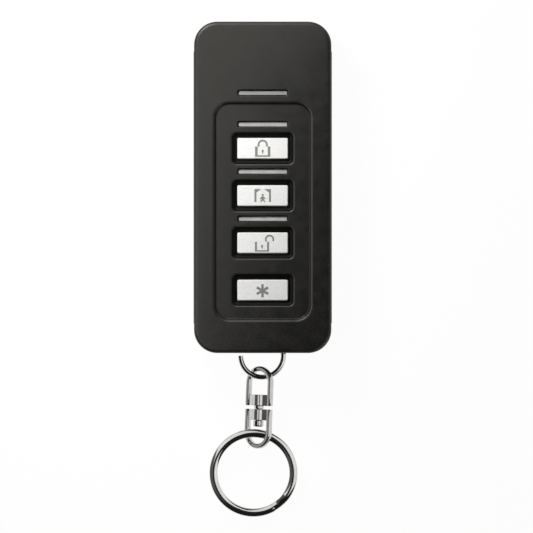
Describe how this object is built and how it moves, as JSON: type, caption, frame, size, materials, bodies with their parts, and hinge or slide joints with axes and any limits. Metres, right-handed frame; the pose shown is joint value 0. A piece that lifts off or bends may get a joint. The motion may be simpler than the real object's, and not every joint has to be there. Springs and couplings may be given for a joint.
{
  "type": "alarm key fob",
  "caption": "Slim black remote control for an alarm, with silver keys in a sunk panel, light bars, and a swivel chain with a split key ring.",
  "frame": {"origin": "middle of the flat back face, which the fob lies on", "axes": "+Y along the case to its top end, away from the key ring; +Z out of the keys; +X to the right as the keys face the viewer"},
  "size_m": [0.0314, 0.1125, 0.011],
  "materials": {
    "case_black": "fine moulded texture, satin black",
    "key_silver": "silver paint, satin",
    "light_bar": "translucent grey",
    "plunger_black": "moulded",
    "board_green": "solder mask",
    "switch_steel": "stamped sheet",
    "led_white": "clear epoxy",
    "chip_black": "moulded",
    "chip_tan": "ceramic",
    "contact_brass": "bright",
    "cell_steel": "bright",
    "screw_steel": "zinc plated",
    "chain_chrome": "polished nickel plate"
  },
  "bodies": {
    "case": {"front_shell": "case_black", "rear_shell": "case_black", "status_light_bar": "light_bar", "lock_light_bar": "light_bar", "home_light_bar": "light_bar", "unlock_light_bar": "light_bar", "circuit_board": "board_green", "switch_housings": "switch_steel", "indicator_leds": "led_white", "radio_chip": "chip_black", "crystal_can": "switch_steel", "chip_components": "chip_tan", "antenna_wire": "contact_brass", "coin_cell": "cell_steel", "battery_clip": "switch_steel", "negative_contact": "contact_brass", "case_screws": "screw_steel"},
    "lock_key": {"lock_button": "key_silver", "lock_plunger": "plunger_black"},
    "home_key": {"home_button": "key_silver", "home_plunger": "plunger_black"},
    "unlock_key": {"unlock_button": "key_silver", "unlock_plunger": "plunger_black"},
    "star_key": {"star_button": "key_silver", "star_plunger": "plunger_black"},
    "ring": {"case_ring": "chain_chrome"},
    "swivel_top": {"upper_link": "chain_chrome", "swivel_pin": "chain_chrome"},
    "swivel_bottom": {"lower_link": "chain_chrome"},
    "key_ring": {"split_ring": "chain_chrome"}
  },
  "joints": [
    {"name": "lock_key_press", "type": "slide", "parent": "case", "child": "lock_key", "axis": [0, 0, -1], "range_m": [0, 0.0005], "stiffness_N_per_m": 600},
    {"name": "home_key_press", "type": "slide", "parent": "case", "child": "home_key", "axis": [0, 0, -1], "range_m": [0, 0.0005], "stiffness_N_per_m": 600},
    {"name": "unlock_key_press", "type": "slide", "parent": "case", "child": "unlock_key", "axis": [0, 0, -1], "range_m": [0, 0.0005], "stiffness_N_per_m": 600},
    {"name": "star_key_press", "type": "slide", "parent": "case", "child": "star_key", "axis": [0, 0, -1], "range_m": [0, 0.0005], "stiffness_N_per_m": 600},
    {"name": "case_ring_swing", "type": "hinge", "parent": "case", "child": "ring", "pos_m": [0, -0.03555, 0.0029], "axis": [0, 0, 1], "range_deg": [-15, 15]},
    {"name": "upper_link_swing", "type": "hinge", "parent": "ring", "child": "swivel_top", "pos_m": [-0.00059, -0.04285, 0.0029], "axis": [-0.9994, 0.0349, 0], "range_deg": [-20, 80]},
    {"name": "swivel_turn", "type": "hinge", "parent": "swivel_top", "child": "swivel_bottom", "pos_m": [-0.00085, -0.05044, 0.0029], "axis": [-0.0349, -0.9994, 0], "continuous": true},
    {"name": "split_ring_flip", "type": "hinge", "parent": "swivel_bottom", "child": "key_ring", "pos_m": [-0.00106, -0.05629, 0.0029], "axis": [-0.9931, 0.1167, 0.0087], "range_deg": [-15, 80]}
  ]
}
